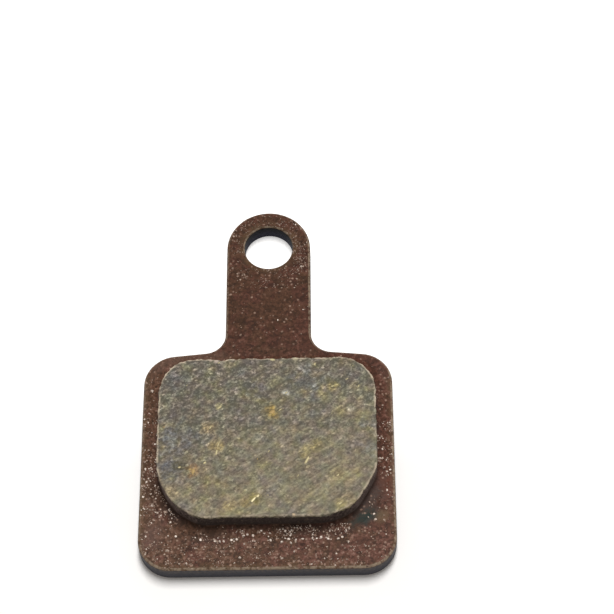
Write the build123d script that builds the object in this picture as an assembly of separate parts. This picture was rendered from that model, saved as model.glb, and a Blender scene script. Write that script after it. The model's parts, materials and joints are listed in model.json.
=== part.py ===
"""Bicycle disc brake pad: a stamped steel backing plate with a moulded friction block bonded to its front.

The pad lies on its back. The origin is the axis of the pad pin hole, in the plane of the back face. +Y points to
the round end of the tab and +Z points out of the friction face. Sizes are in millimetres, angles in degrees.
"""

import os
from math import radians, tan

from build123d import *

# Backing plate, seen from the front
body_width = 23.0
pin_to_foot = 33.2
pin_to_shoulder = 10.9
shoulder_fall = 5.4
body_corner_radius = 3.0
tab_width = 8.0
tab_root_radius = 2.0
pin_hole_diameter = 4.6

# Backing plate, in section: blanking rolls the front edge and leaves the back edge to be broken
plate_thickness = 1.8
front_roll_radius = 0.32
back_break = 0.1

# Friction block: the bare plate left round its face, its height on the plate and its corners
side_margin = 1.65
shoulder_margin = 2.3
foot_margin = 4.2
block_height = 1.9
head_corner_radius = 3.6
foot_corner_radius = 5.5
face_edge_radius = 0.15

# Skirt of compound squeezed out round the foot of the block, which stops short of the plate's edge
skirt_reach = 1.25
skirt_edge_gap = 0.35
skirt_height = 0.08
skirt_edge_radius = 0.04
skirt_root_radius = 0.25


def symmetric_face(half_outline: Curve) -> Sketch:
    """The face between the right half of an outline and its mirror image."""
    return make_face(half_outline + mirror(half_outline, about=Plane.YZ))


def shoulder_at(x: float) -> float:
    """Where the falling line of a shoulder lies, this far from the middle of the plate."""
    return -pin_to_shoulder - x * tan(radians(shoulder_fall))


def plate_blank() -> Sketch:
    """The plate's outline: a body with rounded corners, and a tab whose round end is centred on the pin."""
    half_body = body_width / 2
    half_tab = tab_width / 2
    flank = FilletPolyline(
        (half_tab, 0),
        (half_tab, shoulder_at(half_tab)),
        (half_body, shoulder_at(half_body)),
        (half_body, -pin_to_foot),
        (0, -pin_to_foot),
        radius=[tab_root_radius, body_corner_radius, body_corner_radius],
    )
    tab_end = CenterArc((0, 0), half_tab, 0, 90)
    return symmetric_face(flank + tab_end)


def block_outline() -> Sketch:
    """The outline of the friction face: tighter corners towards the tab, wide ones at the foot."""
    half_block = body_width / 2 - side_margin
    head = -pin_to_shoulder - shoulder_margin
    foot = -pin_to_foot + foot_margin
    flank = FilletPolyline(
        (0, head),
        (half_block, head),
        (half_block, foot),
        (0, foot),
        radius=[head_corner_radius, foot_corner_radius],
    )
    return symmetric_face(flank)


def level_faces(solid: Part) -> ShapeList[Face]:
    """The faces of a solid that lie level, from the lowest to the highest."""
    return solid.faces().filter_by(Axis.Z).sort_by(Axis.Z)


def backing_plate() -> Part:
    """The blanked plate with its pin hole, rolled front edges and broken back edges."""
    plate = extrude(plate_blank() - Circle(pin_hole_diameter / 2), plate_thickness)
    plate = fillet(level_faces(plate)[-1].edges(), front_roll_radius)
    return chamfer(level_faces(plate)[0].edges(), back_break)


def friction_block() -> Part:
    """The moulded block on the plate's front face, in one piece with the skirt round its foot."""
    outline = block_outline()
    skirt_outline = offset(outline, skirt_reach) & offset(plate_blank(), -skirt_edge_gap)
    block = extrude(outline, block_height) + extrude(skirt_outline, skirt_height)
    skirt_top = level_faces(block)[1]
    block = fillet(skirt_top.inner_wires()[0].edges(), skirt_root_radius)
    skirt_top = level_faces(block)[1]
    block = fillet(skirt_top.outer_wire().edges(), skirt_edge_radius)
    block = fillet(level_faces(block)[-1].edges(), face_edge_radius)
    return Pos(0, 0, plate_thickness) * block


os.makedirs("parts", exist_ok=True)
export_step(backing_plate(), "parts/backing_plate.step")
export_step(friction_block(), "parts/friction_block.step")
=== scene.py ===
"""Looks of a bicycle disc brake pad: a coated steel plate with bright grains, and a ground friction block.

Everything is in metres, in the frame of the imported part: the origin is the axis of the pad pin hole in the
plane of the plate's back, +Y points to the round end of the tab and +Z out of the friction face. Sizes are
written as millimetres times MM. Shaders, reliefs and the lists of small things work in millimetres, and
turns are in degrees.
"""

import json
import logging
import math
import random
from dataclasses import dataclass
from enum import Enum
from typing import Any, Callable, Iterable, Optional, Sequence, Union

import bpy
import numpy as np
from mathutils import Euler, Matrix, Vector
from mathutils import noise as lattice
from mathutils.bvhtree import BVHTree


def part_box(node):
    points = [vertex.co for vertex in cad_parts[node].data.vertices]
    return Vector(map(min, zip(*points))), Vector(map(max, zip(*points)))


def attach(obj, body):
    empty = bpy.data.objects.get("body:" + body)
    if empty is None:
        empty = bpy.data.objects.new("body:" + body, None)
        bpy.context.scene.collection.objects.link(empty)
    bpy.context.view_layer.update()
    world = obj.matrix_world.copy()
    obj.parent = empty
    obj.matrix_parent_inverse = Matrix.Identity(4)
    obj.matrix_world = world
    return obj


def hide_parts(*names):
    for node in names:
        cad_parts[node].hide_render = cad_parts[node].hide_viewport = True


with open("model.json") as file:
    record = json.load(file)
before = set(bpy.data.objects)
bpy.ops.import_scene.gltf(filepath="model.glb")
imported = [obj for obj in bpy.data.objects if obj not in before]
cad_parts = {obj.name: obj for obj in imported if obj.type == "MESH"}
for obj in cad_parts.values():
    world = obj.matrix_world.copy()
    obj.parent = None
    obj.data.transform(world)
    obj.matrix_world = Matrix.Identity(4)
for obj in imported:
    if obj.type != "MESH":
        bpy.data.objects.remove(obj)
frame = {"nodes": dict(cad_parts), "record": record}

MM = 0.001
BODY = "root"
DOWN = Vector((0, 0, -1))
log = logging.getLogger("brake_pad")

# What the coat and the compound share: the turn of the grinding marks, a dull surface and its fine grain
GRIND_TURN = 38.0
DULL_SPECULAR = 0.07
GRAIN_DEPTH = 0.03 * MM

Colour = tuple[float, float, float]
Place = tuple[float, float, float]
Operand = Union["Value", float]
Stops = tuple[tuple[float, Colour], ...]


class Slot(Enum):
    """The record's material slots."""

    PLATE_COAT = "plate_coat"
    FRICTION_COMPOUND = "friction_compound"


class Node(Enum):
    """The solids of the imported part."""

    BACKING_PLATE = "backing_plate"
    FRICTION_BLOCK = "friction_block"


class Zone(Enum):
    """The zones of the block's surface, each uneven in its own way."""

    FACE = "face"
    ARRIS = "arris"
    WALL = "wall"
    SKIRT = "skirt"


class Stored(Enum):
    """The numbers that a mesh stores on its points for its finish."""

    WORN_EDGE = "worn_edge"
    # Darkening of the skirt next to the block's wall: painted shade as well as soot
    SOOT = "soot"
    SHADE = "shade"


class Value:
    """A number, vector or colour that flows out of a shader node."""

    def __init__(self, shader: "Shader", socket: Optional[bpy.types.NodeSocket]) -> None:
        """Keeps the shader and the node's socket; a node that closes a tree has none."""
        self.shader = shader
        self.socket = socket

    def _math(self, operation: str, *operands: Operand) -> "Value":
        """Adds one Math node over the operands."""
        return self.shader.node("ShaderNodeMath", {"operation": operation}, dict(enumerate(operands)))

    def __add__(self, other: Operand) -> "Value":
        """self + other."""
        return self._math("ADD", self, other)

    def __radd__(self, other: float) -> "Value":
        """other + self."""
        return self._math("ADD", other, self)

    def __sub__(self, other: Operand) -> "Value":
        """self - other."""
        return self._math("SUBTRACT", self, other)

    def __rsub__(self, other: float) -> "Value":
        """other - self."""
        return self._math("SUBTRACT", other, self)

    def __mul__(self, other: Operand) -> "Value":
        """self * other."""
        return self._math("MULTIPLY", self, other)

    def __rmul__(self, other: float) -> "Value":
        """other * self."""
        return self._math("MULTIPLY", other, self)

    def __abs__(self) -> "Value":
        """The size of self."""
        return self._math("ABSOLUTE", self)

    def at_least(self, other: Operand) -> "Value":
        """The larger of self and other."""
        return self._math("MAXIMUM", self, other)

    def at_most(self, other: Operand) -> "Value":
        """The smaller of self and other."""
        return self._math("MINIMUM", self, other)

    def rise(self, low: float, high: float) -> "Value":
        """A smooth step, 0 below low and 1 above high."""
        inputs = {"Value": self, "From Min": low, "From Max": high}
        return self.shader.node("ShaderNodeMapRange", {"interpolation_type": "SMOOTHSTEP"}, inputs)

    def fall(self, low: float, high: float) -> "Value":
        """A smooth step, 1 below low and 0 above high."""
        return 1.0 - self.rise(low, high)


class Shader:
    """The node tree of one material, and the few ways in which nodes are added to it."""

    MIX_FACTOR = 0
    MIX_A = 6
    MIX_B = 7
    MIX_RESULT = 2

    def __init__(self, name: str) -> None:
        """Starts an empty material.

        Args:
            name: the material's name.
        """
        self.material = bpy.data.materials.new(name)
        self.material.use_nodes = True
        self.tree = self.material.node_tree
        self.tree.nodes.clear()

    def node(self, kind: str, settings: dict[str, Any], inputs: dict[Any, Any], output: Any = 0) -> Value:
        """Adds a node.

        Args:
            kind: the node's type.
            settings: its properties, which are set first.
            inputs: its sockets by name or index, each with a constant or the value that is linked to it.
            output: the name or index of the socket that is handed back.

        Returns:
            The value at that output; a node that closes the tree has none.
        """
        made = self.tree.nodes.new(kind)
        for name, setting in settings.items():
            if name == "stops":
                self.set_stops(made.color_ramp, setting)
            else:
                setattr(made, name, setting)
        for key, given in inputs.items():
            if isinstance(given, Value):
                self.tree.links.new(given.socket, made.inputs[key])
            else:
                made.inputs[key].default_value = given
        socket = made.outputs[output] if made.outputs else None
        return Value(self, socket)

    @staticmethod
    def set_stops(ramp: bpy.types.ColorRamp, stops: Stops) -> None:
        """Gives a ramp its stops.

        Args:
            ramp: the ramp, with two stops of its own or more.
            stops: the stops in order, each a place from 0 to 1 and a colour.
        """
        while len(ramp.elements) < len(stops):
            ramp.elements.new(1.0)
        for element, (place, colour) in zip(ramp.elements, stops):
            element.position = place
            element.color = rgba(colour)

    def ramp(self, value: Value, *stops: tuple[float, Colour]) -> Value:
        """The colour that a value picks from a row of stops."""
        return self.node("ShaderNodeValToRGB", {"stops": stops}, {0: value})

    def place(self) -> Value:
        """The point on the object, in millimetres."""
        metres = self.node("ShaderNodeTexCoord", {}, {}, "Object")
        return self.vector("MULTIPLY", metres, (1 / MM, 1 / MM, 1 / MM))

    def facing(self, axis: str) -> Value:
        """How far the surface faces along an axis: 1 along it, 0 across it, -1 against it."""
        return self.part(self.node("ShaderNodeNewGeometry", {}, {}, "Normal"), axis)

    def vector(self, operation: str, *vectors: Any, output: Any = 0) -> Value:
        """Adds a Vector Math node over one to three vectors."""
        return self.node("ShaderNodeVectorMath", {"operation": operation}, dict(enumerate(vectors)), output)

    def part(self, vector: Value, axis: str) -> Value:
        """One coordinate of a vector."""
        return self.node("ShaderNodeSeparateXYZ", {}, {0: vector}, axis)

    def distance(self, at: Value, point: Place) -> Value:
        """How far the surface is from a point, in millimetres."""
        return self.vector("DISTANCE", at, point, output="Value")

    def stretched(self, at: Value, along: float, across: float, turn: float) -> Value:
        """Coordinates whose pattern is drawn out.

        Args:
            at: the point on the object.
            along: length of the pattern's grain in the drawn direction, in millimetres.
            across: its width, in millimetres.
            turn: the drawn direction in plan, in degrees from +X.

        Returns:
            The coordinates, one unit to a grain.
        """
        inputs = {"Vector": at, "Rotation": (0, 0, math.radians(turn)), "Scale": (along, across, across)}
        return self.node("ShaderNodeMapping", {"vector_type": "TEXTURE"}, inputs)

    def noise(
        self, at: Value, grain: float, shift: float, detail: float = 2.0, roughness: float = 0.5
    ) -> Value:
        """Soft noise.

        Args:
            at: the coordinates that it lies on.
            grain: about how large its blotches are.
            shift: moves one noise away from another.
            detail: how many finer noises are laid over it.
            roughness: how much those count.

        Returns:
            The noise, mostly near 0.5.
        """
        moved = self.vector("ADD", at, apart(shift))
        inputs = {"Vector": moved, "Scale": 1 / grain, "Detail": detail, "Roughness": roughness}
        return self.node("ShaderNodeTexNoise", {"noise_dimensions": "3D"}, inputs, "Fac")

    def cells(self, at: Value, grain: float, shift: float, output: str = "Distance") -> Value:
        """Voronoi cells.

        Args:
            at: the coordinates that they lie on.
            grain: about how large they are.
            shift: moves one set of cells away from another.
            output: "Distance" for the distance to a cell's middle, "Color" for a colour to each cell.

        Returns:
            The distance or the colour.
        """
        moved = self.vector("ADD", at, apart(shift))
        inputs = {"Vector": moved, "Scale": 1 / grain}
        return self.node("ShaderNodeTexVoronoi", {"feature": "F1"}, inputs, output)

    def warped(self, at: Value, grain: float, reach: float) -> Value:
        """Coordinates that wander.

        Args:
            at: the coordinates that they wander from.
            grain: about how large their swirls are.
            reach: how far they wander at most.

        Returns:
            The wandering coordinates.
        """
        inputs = {"Vector": at, "Scale": 1 / grain, "Detail": 1.0}
        swirl = self.node("ShaderNodeTexNoise", {"noise_dimensions": "3D"}, inputs, "Color")
        centred = self.vector("SUBTRACT", swirl, (0.5, 0.5, 0.5))
        return self.vector("MULTIPLY_ADD", centred, (2 * reach, 2 * reach, 2 * reach), at)

    def mix(self, factor: Operand, first: Any, second: Any, blend: str = "MIX") -> Value:
        """A colour between two others.

        Args:
            factor: the share of the second colour, from 0 to 1.
            first: the first colour, a constant or a value.
            second: the second colour, a constant or a value.
            blend: how the second is laid over the first.

        Returns:
            The mixed colour.
        """
        settings = {"data_type": "RGBA", "blend_type": blend, "clamp_factor": True}
        inputs = {self.MIX_FACTOR: factor, self.MIX_A: rgba(first), self.MIX_B: rgba(second)}
        return self.node("ShaderNodeMix", settings, inputs, self.MIX_RESULT)

    def tinted(self, colour: Value, cast: Any) -> Value:
        """A colour times another."""
        return self.mix(1.0, colour, cast, "MULTIPLY")

    def bump(self, height: Value, depth: float) -> Value:
        """The normal of a surface that is pressed by height, with depth in metres for a height of 1."""
        return self.node("ShaderNodeBump", {}, {"Height": height, "Distance": depth, "Strength": 1.0})

    def attribute(self, stored: Stored) -> Value:
        """A number stored on the mesh's points."""
        return self.node("ShaderNodeAttribute", {"attribute_name": stored.value}, {}, "Fac")

    def surface(self, inputs: dict[str, Any]) -> bpy.types.Material:
        """Closes the tree with a Principled shader and hands the material back."""
        shader = self.node("ShaderNodeBsdfPrincipled", {}, inputs)
        return self.output(shader)

    def output(self, shader: Value) -> bpy.types.Material:
        """Closes the tree with a shader and hands the material back."""
        self.node("ShaderNodeOutputMaterial", {}, {"Surface": shader})
        return self.material


def rgba(colour: Any) -> Any:
    """A constant colour with its alpha, or a value as it is."""
    return colour if isinstance(colour, Value) else (*colour, 1.0)


def apart(shift: float) -> Place:
    """A step off the axes, which keeps one pattern away from another."""
    return (shift, 0.7 * shift, 1.3 * shift)


@dataclass(frozen=True)
class Stain:
    """A round patch of another colour on the block's face: its middle and its radius, in millimetres."""

    x: float
    y: float
    radius: float
    colour: Colour
    strength: float


@dataclass(frozen=True)
class Patch:
    """A drawn-out patch on the plate's front: its middle, half its length and half its width."""

    x: float
    y: float
    length: float
    width: float
    turn: float
    colour: Colour
    strength: float


@dataclass(frozen=True)
class BondingCoat:
    """The red-brown coat that the compound bonds to: satin, fine-grained, thin at the plate's edges.

    The plate's sizes come first, in millimetres: half its width, where its foot lies, half the tab's width,
    which is also the radius of the tab's end, the radius of the pin hole, the height of the front face, and
    where the shoulders lie at the tab.
    """

    half_width: float
    foot: float
    half_tab: float
    hole: float
    front: float
    shoulder: float = -11.0
    soot: Colour = (0.034, 0.017, 0.012)
    umber: Colour = (0.056, 0.027, 0.017)
    brown: Colour = (0.080, 0.036, 0.023)
    russet: Colour = (0.112, 0.053, 0.036)
    dust: Colour = (0.190, 0.108, 0.078)
    speck: Colour = (0.300, 0.196, 0.148)
    red_cast: Colour = (1.05, 0.965, 0.99)
    olive_cast: Colour = (0.965, 1.01, 0.92)
    tab_cast: Colour = (0.955, 0.92, 0.885)
    foot_haze: Colour = (1.46, 1.62, 1.74)
    olive: Colour = (0.105, 0.067, 0.034)
    sheared_steel: Colour = (0.060, 0.060, 0.070)
    broken_steel: Colour = (0.120, 0.102, 0.088)
    bore_steel: Colour = (0.009, 0.009, 0.012)
    bore_foot: Colour = (0.026, 0.026, 0.042)
    # Pale wear on the rolled edges, which is also a painted highlight along them
    worn_edge: Colour = (0.320, 0.250, 0.180)
    patches: tuple[Patch, ...] = (
        Patch(10.6, -25.1, 1.2, 0.8, 90.0, (0.150, 0.056, 0.035), 0.6),
        Patch(9.1, -26.8, 2.8, 1.1, 59.0, (0.078, 0.055, 0.047), 0.8),
        # Dark beside the block's lower right corner: painted shade as well as soot
        Patch(8.75, -28.35, 1.5, 0.75, 25.0, (0.032, 0.042, 0.037), 0.9),
        Patch(10.25, -28.3, 0.9, 0.6, 60.0, (0.150, 0.095, 0.055), 0.6),
        Patch(-7.0, -12.4, 4.5, 0.9, 5.0, (0.140, 0.082, 0.060), 0.5),
        # Dark at the block's lower left corner: painted shade as well as soot
        Patch(-8.2, -28.0, 1.5, 0.6, -45.0, (0.040, 0.030, 0.029), 0.6),
        Patch(-10.2, -29.9, 1.7, 1.1, 70.0, (0.175, 0.102, 0.084), 0.4),
        # Dark along the foot of the block's front wall: painted shade as well as soot
        Patch(3.6, -29.7, 3.8, 0.6, 0.0, (0.034, 0.025, 0.020), 0.5),
        Patch(-4.9, -30.0, 2.4, 0.8, 0.0, (0.048, 0.032, 0.026), 0.45),
        # Dark along the block's left side: painted shade as well as soot
        Patch(-9.7, -25.6, 3.2, 1.3, 110.0, (0.034, 0.020, 0.015), 0.5),
    )

    @classmethod
    def fitted(cls) -> "BondingCoat":
        """Takes the plate's sizes from the frame.

        Returns:
            The coat for that plate.
        """
        low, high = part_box(Node.BACKING_PLATE.value)
        bore = next(mount for mount in frame["record"]["mounts"] if mount["kind"] == "bore")
        return cls(high.x / MM, low.y / MM, high.y / MM, bore["dims"]["r_mm"], high.z / MM)

    def edge(self, shader: Shader, at: Value) -> Value:
        """How far the front is from the plate's sides, its foot, the tab's sides and the hole.

        Args:
            shader: the shader that it is for.
            at: the point on the object.

        Returns:
            The distance in millimetres.
        """
        x = abs(shader.part(at, "X"))
        y = shader.part(at, "Y")
        body = (self.half_width - x).at_most(y - self.foot)
        tab = self.half_tab - x + (y - self.shoulder).at_most(0.0)
        return body.at_least(tab).at_most(self.from_pin(shader, at) - self.hole)

    def from_pin(self, shader: Shader, at: Value) -> Value:
        """How far the surface is from the axis of the pin hole, in millimetres."""
        return shader.vector("LENGTH", shader.vector("MULTIPLY", at, (1, 1, 0)), output="Value")

    def tone(self, shader: Shader, at: Value) -> Value:
        """The coat's own colour: one brown in many depths, paler and coarser towards the foot.

        Args:
            shader: the shader that it is for.
            at: the point on the object.

        Returns:
            The colour.
        """
        x, y = (shader.part(at, axis) for axis in "XY")
        low = y.fall(-32.0, -25.0).at_least(abs(x - 0.8).rise(8.5, 11.0) * 0.85)

        # Browns, from soot to dust
        warped = shader.warped(at, 0.3, 0.12)
        pick = shader.part(shader.cells(warped, 0.24, shift=61.0, output="Color"), "X") - 0.5
        grain = shader.noise(at, 0.28, shift=11.0, detail=3.0, roughness=0.8) - 0.5
        blotch = shader.noise(at, 1.3, shift=13.0, roughness=0.6) - 0.5
        depth = 0.43 + (pick * 0.43 + grain * 1.5 + blotch * 0.35) * (1.0 + low * 0.2)
        stops = (
            (0.0, self.soot),
            (0.28, self.umber),
            (0.5, self.brown),
            (0.72, self.russet),
            (1.0, self.dust),
        )
        colour = shader.ramp(depth, *stops)

        # Casts, the haze towards the foot and the bare rim
        hue = (shader.noise(at, 1.6, shift=19.0, roughness=0.6) - x * 0.012).rise(0.40, 0.60)
        colour = shader.tinted(colour, shader.mix(hue, self.red_cast, self.olive_cast))
        colour = shader.mix(y.rise(-13.0, -9.0), colour, shader.tinted(colour, self.tab_cast))
        hazed = low * shader.noise(at, 0.7, shift=47.0).rise(0.1, 0.6)
        colour = shader.mix(hazed, colour, shader.tinted(colour, self.foot_haze))
        bare = self.edge(shader, at).fall(0.2, 0.8) * shader.noise(at, 0.7, shift=23.0).rise(0.3, 0.6)
        colour = shader.mix(bare * 0.5, colour, self.olive)

        # Patches and smears; the dark ones beside the block's walls are painted shade as well as soot
        smear = shader.noise(at, 0.9, shift=59.0, detail=3.0, roughness=0.6) - 0.5
        mottle = grain.rise(-0.15, 0.15) * 0.7 + 0.65
        for patch in self.patches:
            off = shader.vector("SUBTRACT", at, (patch.x, patch.y, self.front))
            turned = shader.stretched(off, patch.length, patch.width, patch.turn)
            ragged = shader.vector("LENGTH", turned, output="Value") + smear * 1.4
            colour = shader.mix(ragged.fall(0.3, 1.3) * mottle * patch.strength, colour, patch.colour)

        # Pale specks
        spread = shader.warped(at, 0.25, 0.06)
        dots = shader.cells(spread, 0.34, shift=91.0).fall(0.12, 0.45)
        lot = shader.part(shader.cells(spread, 0.34, shift=91.0, output="Color"), "Y")
        chance = lot + blotch * 0.8 + low * 0.15
        return shader.mix(dots * chance.rise(0.72, 1.04), colour, self.speck)

    def material(self) -> bpy.types.Material:
        """Builds the coat's shader: the coat, its worn edges, and bare steel on the sheared sides.

        Returns:
            The material.
        """
        shader = Shader("plate_coat")
        at = shader.place()
        z = shader.part(at, "Z")
        facing = shader.facing("Z")
        colour = self.tone(shader, at)

        # Worn where the rolled edge stands out, with a painted highlight along it that is strongest on the
        # edges facing the front and the right
        in_bore = self.from_pin(shader, at).fall(self.hole + 0.3, self.hole + 0.5)
        rolled = facing.rise(0.25, 0.5) * (facing + in_bore * 0.1).fall(0.90, 0.99)
        # Edges facing the front and the right: where the painted highlight is strongest
        lit_and_rubbed = (shader.facing("X") * 0.4 - shader.facing("Y") * 0.9).rise(-0.4, 0.5) * 0.6 + 0.4
        patchy = shader.noise(at, 0.4, shift=41.0, detail=3.0, roughness=0.65).rise(0.32, 0.62)
        wear_and_painted_highlight = rolled * lit_and_rubbed * patchy
        colour = shader.mix(wear_and_painted_highlight * 0.9, colour, self.worn_edge)

        # Bare steel on the sheared sides and in the bore
        upright = abs(facing).fall(0.2, 0.45)
        tear = shader.noise(at, 0.3, shift=53.0, detail=3.0, roughness=0.6).rise(0.35, 0.7)
        steel = shader.mix(tear * z.rise(0.6, 1.5), self.sheared_steel, self.broken_steel)
        bore = shader.mix(z.rise(0.5, 1.3), self.bore_foot, self.bore_steel)
        steel = shader.mix(in_bore, steel, bore)
        colour = shader.mix(upright, colour, steel)

        # Fine grain
        pebbles = shader.cells(at, 0.3, shift=61.0).fall(0.1, 0.75)
        ripple = shader.noise(at, 1.3, shift=71.0)
        fleck = shader.noise(at, 0.2, shift=83.0, roughness=0.6)
        height = pebbles * 0.55 + ripple + fleck * 0.7
        return shader.surface(
            {
                "Base Color": colour,
                "Roughness": 0.48 + fleck * 0.25,
                "Specular IOR Level": DULL_SPECULAR,
                "Normal": shader.bump(height, GRAIN_DEPTH),
            }
        )


@dataclass(frozen=True)
class Compound:
    """The moulded mix of resin, fibre and mineral: ground on its face, dark and raw on its walls."""

    coat: BondingCoat
    slate: Colour = (0.185, 0.167, 0.143)
    stone: Colour = (0.208, 0.184, 0.142)
    moss: Colour = (0.221, 0.193, 0.139)
    tan: Colour = (0.243, 0.208, 0.137)
    olive: Colour = (0.270, 0.231, 0.128)
    mauve_cast: Colour = (1.035, 0.970, 1.000)
    green_cast: Colour = (0.965, 1.025, 0.990)
    crumb: Colour = (0.530, 0.440, 0.330)
    cool: Colour = (0.655, 0.68, 0.742)
    warm: Colour = (1.035, 1.03, 1.00)
    wall: Colour = (0.066, 0.050, 0.045)
    # Walls that face sideways are painted lighter than the front and back walls: painted light
    lit_side_wall: Colour = (0.165, 0.125, 0.113)
    wall_fibre: Colour = (0.115, 0.090, 0.070)
    # The skirt's darkening next to the wall: painted shade as well as soot
    soot: Colour = (0.046, 0.032, 0.029)
    crystal_turn: float = 20.0
    stains: tuple[Stain, ...] = (
        Stain(-8.6, -24.4, 1.6, (0.145, 0.150, 0.165), 0.7),
        Stain(-8.4, -21.5, 2.2, (0.150, 0.155, 0.165), 0.55),
        Stain(-9.2, -20.6, 1.3, (0.165, 0.165, 0.165), 0.6),
        Stain(-0.9, -16.4, 1.4, (0.155, 0.140, 0.150), 0.6),
        Stain(3.8, -15.6, 2.2, (0.160, 0.165, 0.170), 0.5),
        Stain(9.2, -20.0, 1.1, (0.160, 0.165, 0.165), 0.5),
        Stain(9.3, -22.5, 1.1, (0.160, 0.165, 0.165), 0.5),
        Stain(-1.1, -27.2, 1.0, (0.38, 0.31, 0.11), 0.64),
        Stain(-8.5, -26.7, 1.1, (0.42, 0.33, 0.17), 0.64),
        Stain(-5.2, -20.2, 1.0, (0.50, 0.37, 0.18), 0.85),
        Stain(-4.5, -22.0, 0.9, (0.42, 0.31, 0.12), 0.64),
        Stain(0.48, -18.83, 1.05, (0.40, 0.28, 0.09), 0.95),
        Stain(-6.56, -24.5, 0.85, (0.28, 0.17, 0.08), 0.9),
        Stain(-7.85, -24.0, 0.75, (0.11, 0.09, 0.04), 0.85),
        Stain(-7.05, -24.3, 0.4, (0.09, 0.06, 0.03), 0.85),
        Stain(-1.9, -27.7, 0.7, (0.36, 0.26, 0.10), 0.7),
        Stain(6.0, -16.15, 0.7, (0.44, 0.35, 0.12), 0.6),
        Stain(8.05, -16.2, 0.8, (0.38, 0.32, 0.15), 0.4),
        Stain(0.75, -15.75, 1.1, (0.36, 0.31, 0.15), 0.56),
        Stain(4.5, -22.1, 1.0, (0.36, 0.29, 0.11), 0.56),
        Stain(6.2, -25.1, 1.1, (0.36, 0.30, 0.14), 0.45),
        Stain(6.5, -27.9, 0.8, (0.38, 0.31, 0.12), 0.5),
        Stain(-3.25, -28.0, 0.9, (0.38, 0.30, 0.13), 0.56),
        Stain(3.5, -23.0, 0.9, (0.38, 0.30, 0.12), 0.5),
        Stain(-0.4, -24.0, 1.0, (0.30, 0.26, 0.11), 0.48),
        Stain(6.6, -18.7, 0.9, (0.36, 0.30, 0.13), 0.48),
        Stain(1.64, -16.78, 0.45, (0.55, 0.53, 0.44), 0.9),
        Stain(-1.8, -17.0, 0.45, (0.46, 0.46, 0.34), 0.8),
        Stain(7.55, -18.55, 0.4, (0.50, 0.44, 0.32), 0.8),
        Stain(1.4, -21.8, 0.5, (0.44, 0.38, 0.30), 0.8),
        Stain(-0.6, -26.45, 0.45, (0.46, 0.40, 0.30), 0.8),
        Stain(-4.35, -18.1, 0.5, (0.55, 0.48, 0.25), 0.9),
        Stain(-1.35, -27.2, 0.4, (0.13, 0.11, 0.04), 0.8),
        Stain(-0.95, -27.55, 0.4, (0.13, 0.11, 0.04), 0.8),
        Stain(-0.45, -26.6, 0.35, (0.50, 0.45, 0.36), 0.9),
    )
    chips: tuple[Stain, ...] = (
        Stain(-5.2, -13.2, 0.35, (0.54, 0.44, 0.36), 0.7),
        Stain(-4.7, -13.45, 0.32, (0.56, 0.46, 0.38), 0.7),
        Stain(0.5, -13.25, 0.32, (0.64, 0.57, 0.32), 0.75),
        Stain(2.6, -13.25, 0.35, (0.60, 0.54, 0.36), 0.6),
        Stain(2.4, -28.9, 0.22, (0.60, 0.46, 0.30), 0.8),
    )

    def face_tone(self, shader: Shader, at: Value, face: float) -> Value:
        """The ground face's colour: mixed grains, drawn out a little by the grinding, with stains.

        Args:
            shader: the shader that it is for.
            at: the point on the object.
            face: height of the face in millimetres.

        Returns:
            The colour.
        """
        x, y = (shader.part(at, axis) for axis in "XY")
        lean = (x.at_most(1.0) * 0.6 - y).rise(10.0, 29.0)

        # Greys to olive, in blotches
        warmth = shader.noise(at, 0.8, shift=29.0, detail=1.5) - 0.5
        broad = shader.noise(at, 2.4, shift=33.0, detail=1.0) - 0.5
        stops = (
            (0.05, self.slate),
            (0.28, self.stone),
            (0.5, self.moss),
            (0.72, self.tan),
            (1.0, self.olive),
        )
        colour = shader.ramp(0.48 + warmth * 1.3 + broad * 1.1, *stops)
        cast = shader.noise(at, 0.9, shift=71.0, detail=1.5).rise(0.3, 0.7)
        colour = shader.tinted(colour, shader.mix(cast, self.mauve_cast, self.green_cast))

        # Grinding marks, grains and crystals
        ground = shader.stretched(at, 1.25, 0.34, GRIND_TURN)
        streak = shader.noise(ground, 1.0, shift=5.0, detail=3.0, roughness=0.6) - 0.5
        grain = shader.noise(at, 0.42, shift=43.0, detail=3.0, roughness=0.65) - 0.5
        grit = shader.noise(at, 0.2, shift=37.0, roughness=0.6) - 0.5
        drawn_out = shader.stretched(shader.warped(at, 0.4, 0.12), 0.32, 0.24, GRIND_TURN)
        chip = shader.cells(drawn_out, 1.0, shift=61.0, output="Color")
        crossed = shader.stretched(shader.warped(at, 0.3, 0.1), 0.24, 0.17, self.crystal_turn)
        crystal = shader.cells(crossed, 1.0, shift=97.0, output="Color")
        fine = grit * 1.3 + (shader.part(crystal, "X") - 0.5) * 0.5 + (shader.part(chip, "Y") - 0.5) * 0.3
        glint = (shader.part(crystal, "Z") + grain * 0.7).rise(0.82, 1.0)
        drawn = streak * (1.4 + lean * 0.15) + grain * (1.0 - lean * 0.8)
        broken = (grain * 0.6 + streak * 0.6).rise(-0.12, 0.12) * 0.6 + 0.4

        # Stains, under the light and shade of the grains
        for stain in self.stains:
            ragged = shader.distance(at, (stain.x, stain.y, face)) + warmth * 1.6 * stain.radius
            mask = ragged.fall(0.2 * stain.radius, stain.radius) * broken * stain.strength
            colour = shader.mix(mask, colour, stain.colour)
        shade = drawn + fine * (1.4 - lean * 0.85) + glint * 0.4
        colour = shader.tinted(colour, 0.92 + shade + shade * shade * (1.0 - lean * 0.7))
        return shader.tinted(colour, shader.mix(lean, self.cool, self.warm))

    def material(self, face: float, skirt_top: float) -> bpy.types.Material:
        """Builds the compound's shader.

        Args:
            face: height of the ground face.
            skirt_top: height of the skirt's top. Both are in millimetres.

        Returns:
            The material.
        """
        shader = Shader("friction_compound")
        at = shader.place()
        height = shader.part(at, "Z")
        arris = shader.attribute(Stored.WORN_EDGE)
        crumb = shader.noise(at, 0.3, shift=7.0, roughness=0.6)
        colour = self.face_tone(shader, at, face)

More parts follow.
